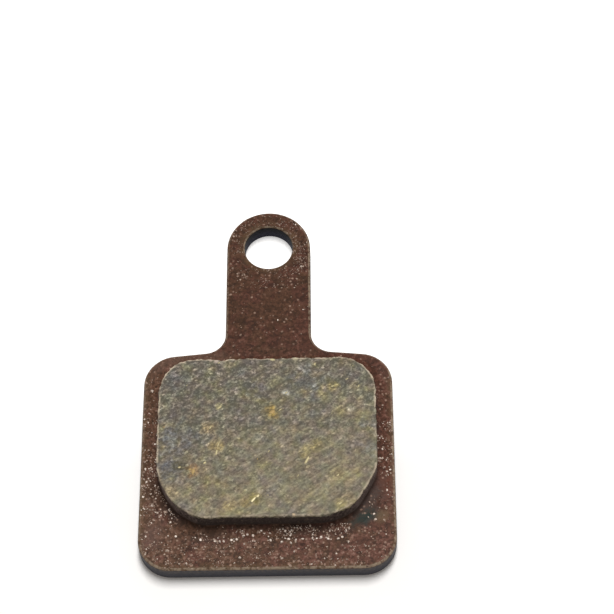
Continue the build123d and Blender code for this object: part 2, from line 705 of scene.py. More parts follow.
        # The crumbled edge and its chips
        worn = arris * crumb.rise(0.36, 0.52) * shader.noise(at, 1.4, shift=3.0).rise(0.32, 0.56)
        foot = shader.part(at, "Y").fall(-27.5, -24.0)
        colour = shader.mix(worn * (1.0 - foot * 0.35), colour, self.crumb)
        for chip in self.chips:
            ragged = shader.distance(at, (chip.x, chip.y, face)) + (crumb - 0.5) * chip.radius
            broken = ragged.fall(0.3 * chip.radius, chip.radius) * chip.strength
            colour = shader.mix(broken, colour, chip.colour)

        # Raw walls, painted lighter where they face sideways: painted light
        below = height.fall(face - 0.5, face - 0.2)
        raw = shader.mix(crumb.rise(0.52, 0.72), self.wall, self.wall_fibre)
        # Walls that face sideways get the lighter colour: painted light
        raw = shader.mix(abs(shader.facing("X")).rise(0.15, 0.8), raw, self.lit_side_wall)
        colour = shader.mix(below, colour, raw)

        # The skirt, darkened next to the block's wall: painted shade as well as soot
        smear = shader.noise(at, 0.9, shift=59.0, detail=3.0, roughness=0.6)
        painted_shade_and_soot = shader.attribute(Stored.SOOT) * smear.rise(0.25, 0.6) * 0.4
        skirt = shader.mix(painted_shade_and_soot, self.coat.tone(shader, at), self.soot)
        low = height.fall(skirt_top + 0.06, skirt_top + 0.25)
        colour = shader.mix(low, colour, skirt)

        grit = shader.noise(at, 0.2, shift=37.0, roughness=0.6)
        return shader.surface(
            {
                "Base Color": colour,
                "Roughness": 0.75 + grit * 0.25,
                "Specular IOR Level": DULL_SPECULAR,
                "Normal": shader.bump(grit + crumb, GRAIN_DEPTH),
            }
        )


@dataclass(frozen=True)
class Metal:
    """Bare metal in small bits, each bit with a shade of its own."""

    name: str
    dull: Colour
    plain: Colour
    bright: Colour
    roughness: float
    metallic: float

    def material(self) -> bpy.types.Material:
        """Builds the metal's shader.

        Returns:
            The material.
        """
        shader = Shader(self.name)
        shade = shader.attribute(Stored.SHADE)
        tarnish = shader.noise(shader.place(), 0.2, shift=7.0, roughness=0.6)
        stops = ((0.0, self.dull), (0.5, self.plain), (1.0, self.bright))
        return shader.surface(
            {
                "Base Color": shader.ramp(shade + tarnish * 0.4 - 0.2, *stops),
                "Roughness": self.roughness + tarnish * 0.2,
                "Metallic": self.metallic,
            }
        )


BRASS = Metal("brass_fibre", (0.27, 0.235, 0.13), (0.41, 0.35, 0.19), (0.68, 0.60, 0.36), 0.45, 0.5)
COPPER = Metal("copper_bit", (0.26, 0.17, 0.07), (0.38, 0.26, 0.09), (0.52, 0.36, 0.13), 0.50, 0.3)
BRIGHT_GRAIN = Metal("bright_grain", (0.18, 0.11, 0.08), (0.34, 0.24, 0.18), (0.80, 0.69, 0.60), 0.40, 0.15)


class Bench:
    """The operators that every piece is modelled with."""

    @staticmethod
    def clear() -> None:
        """Leaves nothing selected."""
        if bpy.context.object is not None and bpy.context.object.mode != "OBJECT":
            bpy.ops.object.mode_set(mode="OBJECT")
        bpy.ops.object.select_all(action="DESELECT")

    @staticmethod
    def current() -> bpy.types.Object:
        """The object that is being worked on."""
        return bpy.context.object

    @staticmethod
    def take(pieces: Sequence[bpy.types.Object]) -> None:
        """Selects these objects and no other, and works on the first.

        Args:
            pieces: the objects.
        """
        Bench.clear()
        for piece in pieces:
            piece.select_set(True)
        bpy.context.view_layer.objects.active = pieces[0]

    @staticmethod
    def freeze() -> None:
        """Puts the current object's place, turn and size into its mesh."""
        bpy.ops.object.transform_apply(location=True, rotation=True, scale=True)

    @staticmethod
    def pick_points(test: Callable[[Vector], bool]) -> None:
        """Selects points in edit mode.

        Args:
            test: says of a point's place whether it is selected.
        """
        bpy.ops.mesh.select_mode(type="VERT")
        bpy.ops.mesh.select_all(action="DESELECT")
        bpy.ops.object.mode_set(mode="OBJECT")
        for point in Bench.current().data.vertices:
            point.select = test(point.co)
        bpy.ops.object.mode_set(mode="EDIT")

    @staticmethod
    def pick_edges(test: Callable[[Vector, Vector], bool]) -> None:
        """Selects edges in edit mode.

        Args:
            test: says of the places of an edge's two ends whether it is selected.
        """
        bpy.ops.mesh.select_mode(type="EDGE")
        bpy.ops.mesh.select_all(action="DESELECT")
        bpy.ops.object.mode_set(mode="OBJECT")
        mesh = Bench.current().data
        for edge in mesh.edges:
            first, second = (mesh.vertices[i].co for i in edge.vertices)
            edge.select = test(first, second)
        bpy.ops.object.mode_set(mode="EDIT")

    @staticmethod
    def store(mesh: bpy.types.Mesh, kind: Stored, amounts: Sequence[float]) -> None:
        """Stores a number on each point of a mesh."""
        stored = mesh.attributes.new(kind.value, "FLOAT", "POINT")
        stored.data.foreach_set("value", amounts)

    @staticmethod
    def copy(source: bpy.types.Object, place: Matrix, shade: float) -> bpy.types.Object:
        """Copies an object.

        Args:
            source: the object, which stays where it is.
            place: the copy's place, turn and size.
            shade: how bright the copy's finish is, stored on its points.

        Returns:
            The copy, with a mesh of its own.
        """
        made = source.copy()
        made.data = source.data.copy()
        made.matrix_world = place
        Bench.store(made.data, Stored.SHADE, [shade] * len(made.data.vertices))
        bpy.context.collection.objects.link(made)
        return made

    @staticmethod
    def join(pieces: list[bpy.types.Object], name: str) -> bpy.types.Object:
        """Joins objects into one at the origin.

        Args:
            pieces: the objects, which become part of the first.
            name: the name of the joined object.

        Returns:
            The joined object.
        """
        Bench.take(pieces)
        bpy.ops.object.join()
        Bench.freeze()
        joined = Bench.current()
        joined.name = name
        joined.data.name = name
        return joined


@dataclass(frozen=True)
class Relief:
    """One layer of unevenness, pressed into a zone of a mesh by a Displace modifier.

    Its grain has a length, a width and a turn, and its depth spans from the darkest to the lightest of a
    cloud pattern, whose middle stays in place.
    """

    zone: Zone
    along: float
    across: float
    turn: float
    depth: float
    middle: float = 0.5
    contrast: float = 1.0
    shift: float = 0.0

    def press(self, piece: bpy.types.Object) -> None:
        """Presses this layer into a piece and applies it.

        Args:
            piece: the piece, which has the zone as a vertex group.
        """
        Bench.clear()
        bpy.ops.object.empty_add(location=[step * MM for step in apart(self.shift)])
        guide = Bench.current()
        guide.scale = (self.along * MM, self.across * MM, self.across * MM)
        guide.rotation_euler = (0, 0, math.radians(self.turn))
        bpy.context.view_layer.update()
        texture = bpy.data.textures.new(self.zone.value, "CLOUDS")
        texture.noise_scale = 1.0
        texture.noise_depth = 2
        texture.contrast = self.contrast
        Bench.take([piece])
        layer = piece.modifiers.new("relief", "DISPLACE")
        layer.texture = texture
        layer.texture_coords = "OBJECT"
        layer.texture_coords_object = guide
        layer.vertex_group = self.zone.value
        layer.strength = self.depth * MM
        layer.mid_level = self.middle
        bpy.ops.object.modifier_apply(modifier=layer.name)
        bpy.data.objects.remove(guide)
        bpy.data.textures.remove(texture)


@dataclass(frozen=True)
class Pull:
    """A stretch of the block's edge that stands out of true, in millimetres.

    It has a place on the edge, how far it has moved along X and Y, and how far round it the rest follows.
    """

    x: float
    y: float
    along_x: float
    along_y: float
    reach: float


def smooth(values: np.ndarray, low: float, high: float) -> np.ndarray:
    """A smooth step over an array, 0 below low and 1 above high."""
    share = np.clip((values - low) / (high - low), 0.0, 1.0)
    return share * share * (3.0 - 2.0 * share)


@dataclass
class FrictionBlock:
    """The moulded block: a ground face with a crumbled edge, raw walls and a thin ragged skirt.

    The skirt's rim rises by its lip and then inwards by its profile, in shares of its slope and its height.
    """

    finish: Compound
    skirt_reach: float = 1.25 * MM
    skirt_height: float = 0.08 * MM
    skirt_slope: float = 0.25 * MM
    skirt_lip: float = 0.2
    skirt_profile: tuple[tuple[float, float], ...] = ((0.4, 0.5), (0.6, 0.3))
    head_radius: float = 3.6 * MM
    foot_radius: float = 5.5 * MM
    root_radius: float = 0.25 * MM
    edge_radius: float = 0.15 * MM
    cell: float = 0.1 * MM
    skirt_rings: int = 10
    wall_rings: int = 18
    face_span: int = 198
    face_turn: int = -3
    root_steps: int = 4
    edge_steps: int = 3
    least_weight: float = 0.001
    crease: float = 50.0
    reliefs: tuple[Relief, ...] = (
        Relief(Zone.FACE, 1.0, 0.34, GRIND_TURN, 0.05, 0.5, 1.2, 3.0),
        Relief(Zone.FACE, 0.36, 0.28, GRIND_TURN, 0.05, 0.5, 1.3, 9.0),
        Relief(Zone.FACE, 3.5, 3.5, 0.0, 0.05, 0.5, 1.0, 15.0),
        Relief(Zone.ARRIS, 0.8, 0.8, 0.0, 0.14, 0.5, 1.5, 18.0),
        Relief(Zone.ARRIS, 0.35, 0.35, 0.0, 0.13, 0.5, 1.5, 21.0),
        Relief(Zone.WALL, 0.9, 0.9, 0.0, 0.2, 0.6, 1.4, 24.0),
        Relief(Zone.WALL, 0.3, 0.3, 0.0, 0.16, 0.6, 1.4, 27.0),
        Relief(Zone.SKIRT, 0.3, 0.3, 0.0, 0.06, 0.5, 1.4, 39.0),
    )
    pulls: tuple[Pull, ...] = (
        Pull(-8.8, -14.25, -0.11, 0.11, 3.5),
        Pull(8.8, -14.25, 0.10, 0.12, 3.5),
        Pull(6.8, -13.2, 0.0, 0.06, 2.5),
        Pull(-9.85, -20.5, -0.06, 0.0, 5.0),
        Pull(9.85, -19.0, 0.045, 0.0, 5.0),
        Pull(-7.1, -28.25, -0.07, -0.12, 3.5),
        Pull(-5.8, -28.8, -0.02, -0.10, 1.6),
        Pull(9.1, -26.25, -0.19, 0.11, 2.0),
        Pull(-4.2, -13.2, 0.0, -0.16, 0.7),
    )

    def __post_init__(self) -> None:
        """Takes the block's place from the frame."""
        self.low, self.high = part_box(Node.FRICTION_BLOCK.value)

    @property
    def skirt_top(self) -> float:
        """Height of the skirt's top."""
        return self.low.z + self.skirt_height

    def outline(self) -> None:
        """Draws the skirt's outline as one face: a plane with rounded corners and evenly spaced points."""
        reach = self.skirt_reach
        middle = (self.low + self.high) / 2
        width = self.high.x - self.low.x
        length = self.high.y - self.low.y
        bpy.ops.mesh.primitive_plane_add(size=1, location=(middle.x, middle.y, self.low.z))
        piece = Bench.current()
        piece.name = "friction_block_moulded"
        piece.scale = (width, length, 1)
        Bench.freeze()
        bpy.ops.object.mode_set(mode="EDIT")
        ends = ((self.high.y, self.head_radius + reach), (self.low.y, self.foot_radius + reach))
        for end, radius in ends:
            Bench.pick_points(lambda co: abs(co.y - end) < self.cell / 2)
            steps = round(radius * math.pi / 2 / self.cell)
            bpy.ops.mesh.bevel(affect="VERTICES", offset=radius, segments=steps)
        bpy.ops.mesh.select_mode(type="FACE")
        bpy.ops.mesh.select_all(action="SELECT")
        bpy.ops.mesh.delete(type="ONLY_FACE")
        runs = [width - 2 * radius for _, radius in ends]
        runs.append(length - sum(radius for _, radius in ends))
        for run in runs:
            self.divide(run)
        bpy.ops.mesh.select_mode(type="EDGE")
        bpy.ops.mesh.select_all(action="SELECT")
        bpy.ops.mesh.edge_face_add()
        bpy.ops.object.mode_set(mode="OBJECT")
        faces_down = piece.data.polygons[0].normal.z < 0
        bpy.ops.object.mode_set(mode="EDIT")
        if faces_down:
            bpy.ops.mesh.flip_normals()

    def divide(self, run: float) -> None:
        """Cuts the outline's edges of one length into cells, an even number of them.

        Args:
            run: the length.
        """
        Bench.pick_edges(lambda a, b: abs((a - b).length - run) < self.cell / 10)
        halves = round(run / self.cell / 2)
        bpy.ops.mesh.subdivide(number_cuts=1)
        bpy.ops.mesh.subdivide(number_cuts=halves - 1)

    def raise_walls(self) -> None:
        """Raises the skirt, then the walls with a hollow root, and rounds the edge of the face."""
        bpy.ops.mesh.select_mode(type="FACE")
        bpy.ops.mesh.select_all(action="SELECT")
        self.lift(self.skirt_height * self.skirt_lip)
        for inward, upward in self.skirt_profile:
            bpy.ops.mesh.inset(thickness=self.skirt_slope * inward, depth=self.skirt_height * upward)
        flat = self.skirt_reach - self.skirt_slope - self.root_radius
        for _ in range(self.skirt_rings):
            bpy.ops.mesh.inset(thickness=flat / self.skirt_rings, depth=0)
        for level, steep in self.quarter_round(self.root_radius, self.root_steps):
            bpy.ops.mesh.inset(thickness=level, depth=steep)
        wall = self.high.z - self.skirt_top - self.root_radius - self.edge_radius
        for _ in range(self.wall_rings):
            self.lift(wall / self.wall_rings)
        for steep, level in self.quarter_round(self.edge_radius, self.edge_steps):
            bpy.ops.mesh.inset(thickness=level, depth=steep)

    @staticmethod
    def quarter_round(radius: float, steps: int) -> list[tuple[float, float]]:
        """Divides a quarter of a circle into straight steps.

        Args:
            radius: the circle's radius.
            steps: how many steps there are.

        Returns:
            How far each step goes the way that the round starts, and the way that it ends.
        """
        turns = [math.pi / 2 * step / steps for step in range(steps + 1)]
        return [
            (radius * (math.sin(after) - math.sin(before)), radius * (math.cos(before) - math.cos(after)))
            for before, after in zip(turns, turns[1:])
        ]

    @staticmethod
    def lift(step: float) -> None:
        """Extrudes the selected face upwards."""
        bpy.ops.mesh.extrude_region_move(TRANSFORM_OT_translate={"value": (0, 0, step)})

    def fill_face(self) -> None:
        """Lays an even grid of cells over the face."""
        bpy.ops.mesh.delete(type="ONLY_FACE")
        top = self.high.z - self.cell / 50
        Bench.pick_edges(lambda a, b: min(a.z, b.z) > top)
        bpy.ops.mesh.fill_grid(span=self.face_span, offset=self.face_turn)
        bpy.ops.mesh.select_all(action="SELECT")
        bpy.ops.mesh.normals_make_consistent(inside=False)
        bpy.ops.object.mode_set(mode="OBJECT")

    def inside(self, places: np.ndarray) -> np.ndarray:
        """How far points lie inside the outline of the face.

        Args:
            places: the points, one to a row.

        Returns:
            The distance of each from the outline, negative outside it.
        """
        middle = (self.low + self.high) / 2
        away = places[:, :2] - np.array(middle.xy)
        radius = np.where(away[:, 1] > 0, self.head_radius, self.foot_radius)
        half = np.array((self.high.x - self.low.x, self.high.y - self.low.y)) / 2 - self.skirt_reach
        corner = np.abs(away) - half + radius[:, None]
        outside = np.linalg.norm(np.maximum(corner, 0.0), axis=1)
        return radius - outside - np.minimum(corner.max(axis=1), 0.0)

    def mark_zones(self, piece: bpy.types.Object) -> None:
        """Marks where each kind of relief goes, and stores what the finish needs.

        Args:
            piece: the block, as it is before it is roughened.
        """
        places = np.empty(len(piece.data.vertices) * 3, np.float32)
        piece.data.vertices.foreach_get("co", places)
        places = places.reshape(-1, 3).astype(float)
        depth = self.inside(places) / MM
        height = places[:, 2]
        under_face = (self.high.z - height) / MM
        over_skirt = (height - self.skirt_top) / MM
        reach = self.skirt_reach / MM
        zones = {
            Zone.FACE: smooth(depth, 0.1, 0.4) * (under_face < 0.02),
            Zone.ARRIS: smooth(-depth, -0.32, -0.05) * smooth(-under_face, -0.4, -0.1),
            Zone.WALL: smooth(over_skirt, 0.1, 0.5) * smooth(under_face, 0.1, 0.4) * (depth < 0.05),
            Zone.SKIRT: smooth(-depth, 0.3, 0.6) * smooth(depth, -reach, 0.3 - reach) * (over_skirt < 0.05),
        }
        for zone, weights in zones.items():
            group = piece.vertex_groups.new(name=zone.value)
            for index in np.flatnonzero(weights > self.least_weight):
                group.add([int(index)], float(weights[index]), "REPLACE")
        worn = smooth(-depth, -0.20, -0.08) * smooth(-under_face, -0.22, -0.06)
        # Darkening of the skirt next to the wall's root: painted shade as well as soot
        soot = smooth(depth, -0.6, -0.15)
        Bench.store(piece.data, Stored.WORN_EDGE, worn.astype(np.float32))
        Bench.store(piece.data, Stored.SOOT, soot.astype(np.float32))

    def pull_corners(self) -> None:
        """Moves the stretches of the edge that stand out of true, with what lies round them."""
        bpy.ops.object.mode_set(mode="EDIT")
        for pull in self.pulls:
            centre = Vector((pull.x, pull.y)) * MM
            Bench.pick_points(lambda co: (co.xy - centre).length < 2 * self.cell)
            bpy.ops.transform.translate(
                value=(pull.along_x * MM, pull.along_y * MM, 0),
                use_proportional_edit=True,
                proportional_edit_falloff="SMOOTH",
                proportional_size=pull.reach * MM,
            )
        bpy.ops.object.mode_set(mode="OBJECT")

    def build(self) -> bpy.types.Object:
        """Models, roughens and dresses the block.

        Returns:
            The block, which stands for its plain solid.
        """
        Bench.clear()
        self.outline()
        self.raise_walls()
        self.fill_face()
        piece = Bench.current()
        self.mark_zones(piece)
        self.pull_corners()
        for relief in self.reliefs:
            relief.press(piece)
        bpy.ops.object.shade_smooth_by_angle(angle=math.radians(self.crease))
        piece.data.materials.append(self.finish.material(self.high.z / MM, self.skirt_top / MM))
        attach(piece, BODY)
        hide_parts(Node.FRICTION_BLOCK.value)
        return piece


@dataclass(frozen=True)
class Bit:
    """One bit of metal in the ground face: its place, length, width and turn, and how it shines."""

    x: float
    y: float
    length: float
    width: float
    turn: float
    shade: float = 0.35


def one_piece(
    laid: list[bpy.types.Object], shapes: list[bpy.types.Object], name: str, finish: Metal
) -> bpy.types.Object:
    """Makes one piece of many small things.

    Args:
        laid: the small things, each in its place.
        shapes: what they were copied from, which is removed.
        name: the piece's name.
        finish: the metal that they are of.

    Returns:
        The piece.
    """
    for shape in shapes:
        bpy.data.objects.remove(shape)
    piece = Bench.join(laid, name)
    piece.data.materials.clear()
    piece.data.materials.append(finish.material())
    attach(piece, BODY)
    return piece


@dataclass
class MetalBits:
    """The bits of one metal that the grinding has laid bare in the face.

    The listed bits come first. The strays are small, and their sizes and turns are drawn at random.
    """

    name: str
    metal: Metal
    bits: tuple[Bit, ...]
    strays: int
    seed: int
    proud: float = 0.02 * MM
    let_down: float = 1.0 * MM
    edge_gap: float = 0.4 * MM
    thinness: float = 0.3
    shapes: int = 4
    points: int = 9
    cuts: int = 3
    taper: float = 0.35
    raggedness: float = 0.07
    stray_length: tuple[float, float] = (0.12, 0.34)
    stray_slimness: tuple[float, float] = (0.3, 0.6)
    stray_turn: tuple[float, float] = (45, 30)
    stray_shade: tuple[float, float] = (0.0, 0.3)

    def sliver(self, seed: int) -> bpy.types.Object:
        """Models one ragged sliver, one unit long and lying along X.

        Args:
            seed: makes each sliver's edge its own.

        Returns:
            The sliver.
        """
        Bench.clear()
        bpy.ops.mesh.primitive_cylinder_add(
            vertices=self.points, radius=0.5, depth=1.0, rotation=(0, math.pi / 2, 0)
        )
        Bench.freeze()
        bpy.ops.object.mode_set(mode="EDIT")
        bpy.ops.mesh.select_mode(type="EDGE")
        Bench.pick_edges(lambda a, b: abs(a.x - b.x) > 0.9)
        bpy.ops.mesh.subdivide(number_cuts=self.cuts)
        for side in (-1, 1):
            Bench.pick_points(lambda co: co.x * side > 0.45)
            bpy.ops.transform.resize(
                value=(1, self.taper, self.taper), center_override=(0.5 * side, 0, 0)
            )
        bpy.ops.mesh.select_all(action="SELECT")
        bpy.ops.transform.vertex_random(offset=self.raggedness, seed=seed)
        bpy.ops.mesh.normals_make_consistent(inside=False)
        bpy.ops.object.mode_set(mode="OBJECT")
        return Bench.current()

    def all_bits(self, block: FrictionBlock) -> list[Bit]:
        """Adds the strays to the listed bits.

        Args:
            block: the block that they lie in.

        Returns:
            All the bits.
        """
        draw = random.Random(self.seed)
        bits = list(self.bits)
        while len(bits) < len(self.bits) + self.strays:
            x = draw.uniform(block.low.x, block.high.x)
            y = draw.uniform(block.low.y, block.high.y)
            if block.inside(np.array([[x, y, 0.0]]))[0] < self.edge_gap:
                continue
            length = draw.uniform(*self.stray_length)
            width = length * draw.uniform(*self.stray_slimness)
            turn = draw.gauss(*self.stray_turn)
            bits.append(Bit(x / MM, y / MM, length, width, turn, draw.uniform(*self.stray_shade)))
        return bits

    def build(self, face: BVHTree, block: FrictionBlock) -> bpy.types.Object:
        """Lays the bits in the face.

        Args:
            face: the block's surface.
            block: the block that they lie in.

        Returns:
            All the bits of this metal as one piece.
        """
        shapes = [self.sliver(seed) for seed in range(self.shapes)]
        laid = []
        for bit in self.all_bits(block):
            above = Vector((bit.x * MM, bit.y * MM, block.high.z + self.let_down))
            hit = face.ray_cast(above, DOWN)[0]
            thickness = self.thinness * bit.width * MM
            centre = hit + Vector((0, 0, self.proud - thickness / 2))
            size = Matrix.Diagonal((bit.length * MM, bit.width * MM, thickness, 1.0))
            turn = Matrix.Rotation(math.radians(bit.turn), 4, "Z")
            shape = shapes[len(laid) % len(shapes)]
            laid.append(Bench.copy(shape, Matrix.Translation(centre) @ turn @ size, bit.shade))
        return one_piece(laid, shapes, self.name, self.metal)


BRASS_BITS = (
    Bit(-1.18, -27.42, 0.65, 0.2, 50, 0.85),
    Bit(-0.77, -27.05, 0.36, 0.22, 45, 0.7),
    Bit(3.62, -23.58, 1.1, 0.25, 62, 0.42),
    Bit(-4.5, -22.68, 0.6, 0.18, 80, 0.4),
    Bit(-4.35, -21.93, 0.5, 0.12, 70, 0.3),
    Bit(-7.8, -24.15, 0.28, 0.18, 20),
    Bit(-5.54, -23.73, 0.3, 0.2, 40, 0.5),
    Bit(6.0, -16.18, 0.35, 0.18, 15, 0.2),
    Bit(8.35, -16.23, 0.3, 0.15, 70, 0.2),
    Bit(6.35, -25.13, 0.3, 0.15, 45),
    Bit(6.5, -27.88, 0.4, 0.2, 30),
    Bit(-3.3, -27.88, 0.25, 0.14, 45),
    Bit(-4.33, -18.23, 0.45, 0.16, 35),
    Bit(1.2, -18.53, 0.4, 0.10, 35),
    Bit(-5.1, -20.23, 0.35, 0.14, 60),
    Bit(1.75, -16.8, 0.3, 0.12, 40),
)
COPPER_BITS = (
    Bit(0.45, -18.78, 0.75, 0.42, 40),
    Bit(-6.55, -24.55, 0.6, 0.36, 80),
    Bit(-6.85, -24.35, 0.35, 0.2, 10),
)


@dataclass(frozen=True)
class Sprinkle:
    """A field of grains: a box in plan, in millimetres, with this many grains to a square millimetre.

    The other values say how they shine, how large they are beside typical ones, and how far they gather in
    clumps.
    """

    left: float
    right: float
    low: float
    high: float
    thickness: float
    shine: float = 0.3
    size: float = 1.0
    clumps: float = 1.3


@dataclass(frozen=True)
class Mark:
    """One large grain: its place in plan, its size in millimetres and how it shines."""

    x: float
    y: float
    size: float
    shine: float = 1.0


@dataclass
class BlastGrains:
    """The bright grains that stand in the coat, thick near the skirt and thin on the tab.

    Sizes of grains and clumps are in millimetres. A grain stands only where the surface faces upwards by
    the least that is given.
    """

    name: str = "blast_grains"
    finish: Metal = BRIGHT_GRAIN
    seed: int = 20
    shapes: int = 6
    raggedness: float = 0.12
    proportions: tuple[float, float, float] = (1.15, 0.95, 0.50)
    lean: float = 0.5
    raised: float = 0.05
    least_upward: float = 0.75
    clearance: float = 0.1 * MM
    clump_size: float = 0.9
    clump_layer: float = 3.0
    smallest: float = 0.08
    typical: float = 0.15
    spread: float = 0.40
    largest: float = 0.3
    dimness: float = 1.5
    fields: tuple[Sprinkle, ...] = (
        Sprinkle(-3.7, 3.7, 1.2, 3.7, 16.0, 0.36, 0.6),
        Sprinkle(-3.7, -2.3, -3.0, 1.2, 7.0, 0.32, 0.66),
        Sprinkle(2.3, 3.7, -3.0, 1.2, 18.0, 0.4, 0.66),
        Sprinkle(-3.0, 3.0, -4.6, -2.4, 9.0, 0.34, 0.62),
        Sprinkle(-3.7, 2.0, -11.0, -4.2, 0.6, 0.35, 0.8),
        Sprinkle(2.0, 3.8, -11.0, -3.0, 1.2, 0.35, 0.8),
        Sprinkle(-11.2, 11.2, -13.5, -11.0, 0.7, 0.3, 0.8),
        Sprinkle(-11.3, -9.8, -18.0, -13.5, 5.0, 0.45, 0.75),
        Sprinkle(-11.3, -9.8, -22.0, -18.0, 9.0, 0.5, 0.75),
        Sprinkle(9.8, 11.3, -19.0, -13.5, 2.0, 0.18, 0.8),
        Sprinkle(9.8, 11.3, -25.0, -19.0, 13.0, 0.6, 0.78),
        Sprinkle(9.0, 11.3, -29.0, -25.0, 5.0, 0.4, 0.75),
        Sprinkle(-11.3, -8.0, -29.0, -22.0, 14.0, 0.6, 0.78),
        Sprinkle(-11.2, -10.4, -24.0, -23.4, 14.0, 0.5),
        Sprinkle(-11.3, 11.3, -31.2, -29.0, 3.2, 0.4, 0.75),
        Sprinkle(-11.2, -8.5, -31.8, -29.0, 4.0, 0.5, 0.85),
        Sprinkle(-6.8, -3.2, -30.6, -29.8, 6.0, 0.6, 0.75),
        Sprinkle(-3.2, 1.2, -30.7, -29.4, 9.0, 0.65, 0.72),
        Sprinkle(1.2, 7.2, -30.6, -29.0, 13.0, 0.7, 0.7),
        Sprinkle(-11.2, 11.2, -33.0, -31.0, 6.0, 0.42, 0.74),
        Sprinkle(-9.0, 9.0, -33.2, -32.9, 4.0, 0.5),
        Sprinkle(-11.3, -9.2, -28.5, -21.5, 13.0, 0.34, 0.5),
        Sprinkle(-11.2, 0.0, -32.8, -30.6, 9.0, 0.38, 0.5),
        Sprinkle(0.8, 7.4, -30.2, -29.0, 11.0, 0.5, 0.6, 0.5),
        Sprinkle(2.3, 3.7, -3.0, 1.2, 12.0, 0.38, 0.5),
        Sprinkle(-2.6, 2.6, -3.6, -2.4, 9.0, 0.28, 0.5),
    )
    marks: tuple[Mark, ...] = (
        Mark(-10.9, -24.7, 0.24),
        Mark(-11.0, -23.4, 0.26, 0.9),
        Mark(-10.5, -23.3, 0.22, 0.8),
        Mark(-8.1, -30.0, 0.24),
        Mark(-5.9, -30.35, 0.28),
        Mark(-4.6, -30.5, 0.25, 0.9),
        Mark(-4.2, -30.55, 0.24, 0.9),
        Mark(-3.85, -30.55, 0.22, 0.8),
        Mark(-3.15, -30.4, 0.25),
        Mark(-2.7, -30.35, 0.24, 0.9),
        Mark(-2.1, -30.05, 0.34),
        Mark(-1.75, -29.95, 0.24, 0.8),
        Mark(-1.25, -30.05, 0.26, 0.8),
        Mark(-0.25, -29.85, 0.24, 0.8),
        Mark(-2.05, -30.8, 0.24, 0.8),
        Mark(-1.1, -30.55, 0.25, 0.7),
        Mark(0.3, -30.5, 0.28, 0.9),
        Mark(1.3, -30.7, 0.31),
        Mark(1.9, -30.4, 0.25),
        Mark(2.1, -30.8, 0.34),
        Mark(1.6, -29.65, 0.25, 0.8),
        Mark(3.15, -30.4, 0.28, 0.8),
        Mark(4.0, -30.35, 0.27, 0.9),
        Mark(4.8, -30.25, 0.31),
        Mark(5.4, -30.4, 0.25),
        Mark(6.3, -30.4, 0.27, 0.8),
        Mark(6.65, -30.25, 0.24, 0.8),
        Mark(2.4, -31.6, 0.22, 0.8),
        Mark(3.9, -32.8, 0.24, 0.8),
        Mark(-2.4, -32.1, 0.26, 0.75),
        Mark(-7.1, -32.6, 0.24, 0.8),
        Mark(10.7, -25.8, 0.26, 0.85),
        Mark(9.5, -28.1, 0.22, 0.9),
        Mark(9.0, -28.4, 0.2, 0.75),
        Mark(0.9, -8.1, 0.18, 0.85),
        Mark(3.3, -7.0, 0.2, 0.8),
        Mark(2.6, 2.5, 0.16),
    )

    def shard(self, seed: int) -> bpy.types.Object:
        """Models one broken grain, one unit across.

        Args:
            seed: makes each grain's facets their own.

        Returns:
            The grain.
        """
        Bench.clear()
        bpy.ops.mesh.primitive_ico_sphere_add(subdivisions=1, radius=0.5)
        bpy.ops.object.mode_set(mode="EDIT")
        bpy.ops.mesh.select_all(action="SELECT")
        bpy.ops.transform.vertex_random(offset=self.raggedness, seed=seed)
        bpy.ops.transform.resize(value=self.proportions)
        bpy.ops.mesh.normals_make_consistent(inside=False)
        bpy.ops.object.mode_set(mode="OBJECT")
        return Bench.current()

    def grains(self) -> list[Mark]:
        """Scatters the fields' grains in clumps.

        Returns:
            All the grains: the marked ones, then those of the fields.
        """
        draw = random.Random(self.seed)
        grains = list(self.marks)
        for field in self.fields:
            wanted = round((field.right - field.left) * (field.high - field.low) * field.thickness)
            while wanted > 0:
                x = draw.uniform(field.left, field.right)
                y = draw.uniform(field.low, field.high)
                clump = lattice.noise(Vector((x / self.clump_size, y / self.clump_size, self.clump_layer)))
                if draw.random() < 0.5 + field.clumps * clump:
                    size = draw.lognormvariate(math.log(self.typical * field.size), self.spread)
                    shine = min(1.0, field.shine * 2.0 * draw.random() ** self.dimness)
                    grains.append(Mark(x, y, min(max(size, self.smallest), self.largest), shine))
                    wanted -= 1
        return grains

    def build(self, ground: list[BVHTree], keep_off: FrictionBlock) -> bpy.types.Object:
        """Seats the grains on the plate and the skirt.

        Args:
            ground: the surfaces that they may stand on.
            keep_off: the block, whose face and walls stay clear of them.

        Returns:
            All the grains as one piece.
        """
        draw = random.Random(self.seed + 1)
        shapes = [self.shard(seed) for seed in range(self.shapes)]
        laid = []
        for grain in self.grains():
            x, y, size = grain.x, grain.y, grain.size
            tilt = (draw.gauss(0, self.lean), draw.gauss(0, self.lean), draw.uniform(0, math.tau))
            spin = Euler(tilt).to_matrix().to_4x4()
            if keep_off.inside(np.array([[x * MM, y * MM, 0.0]]))[0] > -self.clearance:
                continue
            above = Vector((x * MM, y * MM, keep_off.high.z))
            hits = [tree.ray_cast(above, DOWN)[:2] for tree in ground]
            tops = [(place, normal) for place, normal in hits if place is not None]
            if not tops:
                continue
            place, normal = max(tops, key=lambda top: top[0].z)
            if normal.z < self.least_upward or place.z > keep_off.skirt_top + self.clearance:
                continue
            seat = place + normal * (self.raised * size * MM)
            scale = Matrix.Diagonal((size * MM, size * MM, size * MM, 1.0))
            shape = shapes[len(laid) % len(shapes)]
            laid.append(Bench.copy(shape, Matrix.Translation(seat) @ spin @ scale, grain.shine))
        return one_piece(laid, shapes, self.name, self.finish)


@dataclass
class BackingPlate:
    """The stamped plate, dressed as it stands in the frame."""

    finish: BondingCoat

    def build(self) -> bpy.types.Object:
        """Dresses the plate's solid.

        Returns:
            The solid.
        """
        plate = frame["nodes"][Node.BACKING_PLATE.value]
        plate.data.materials.clear()
        plate.data.materials.append(self.finish.material())
        return plate


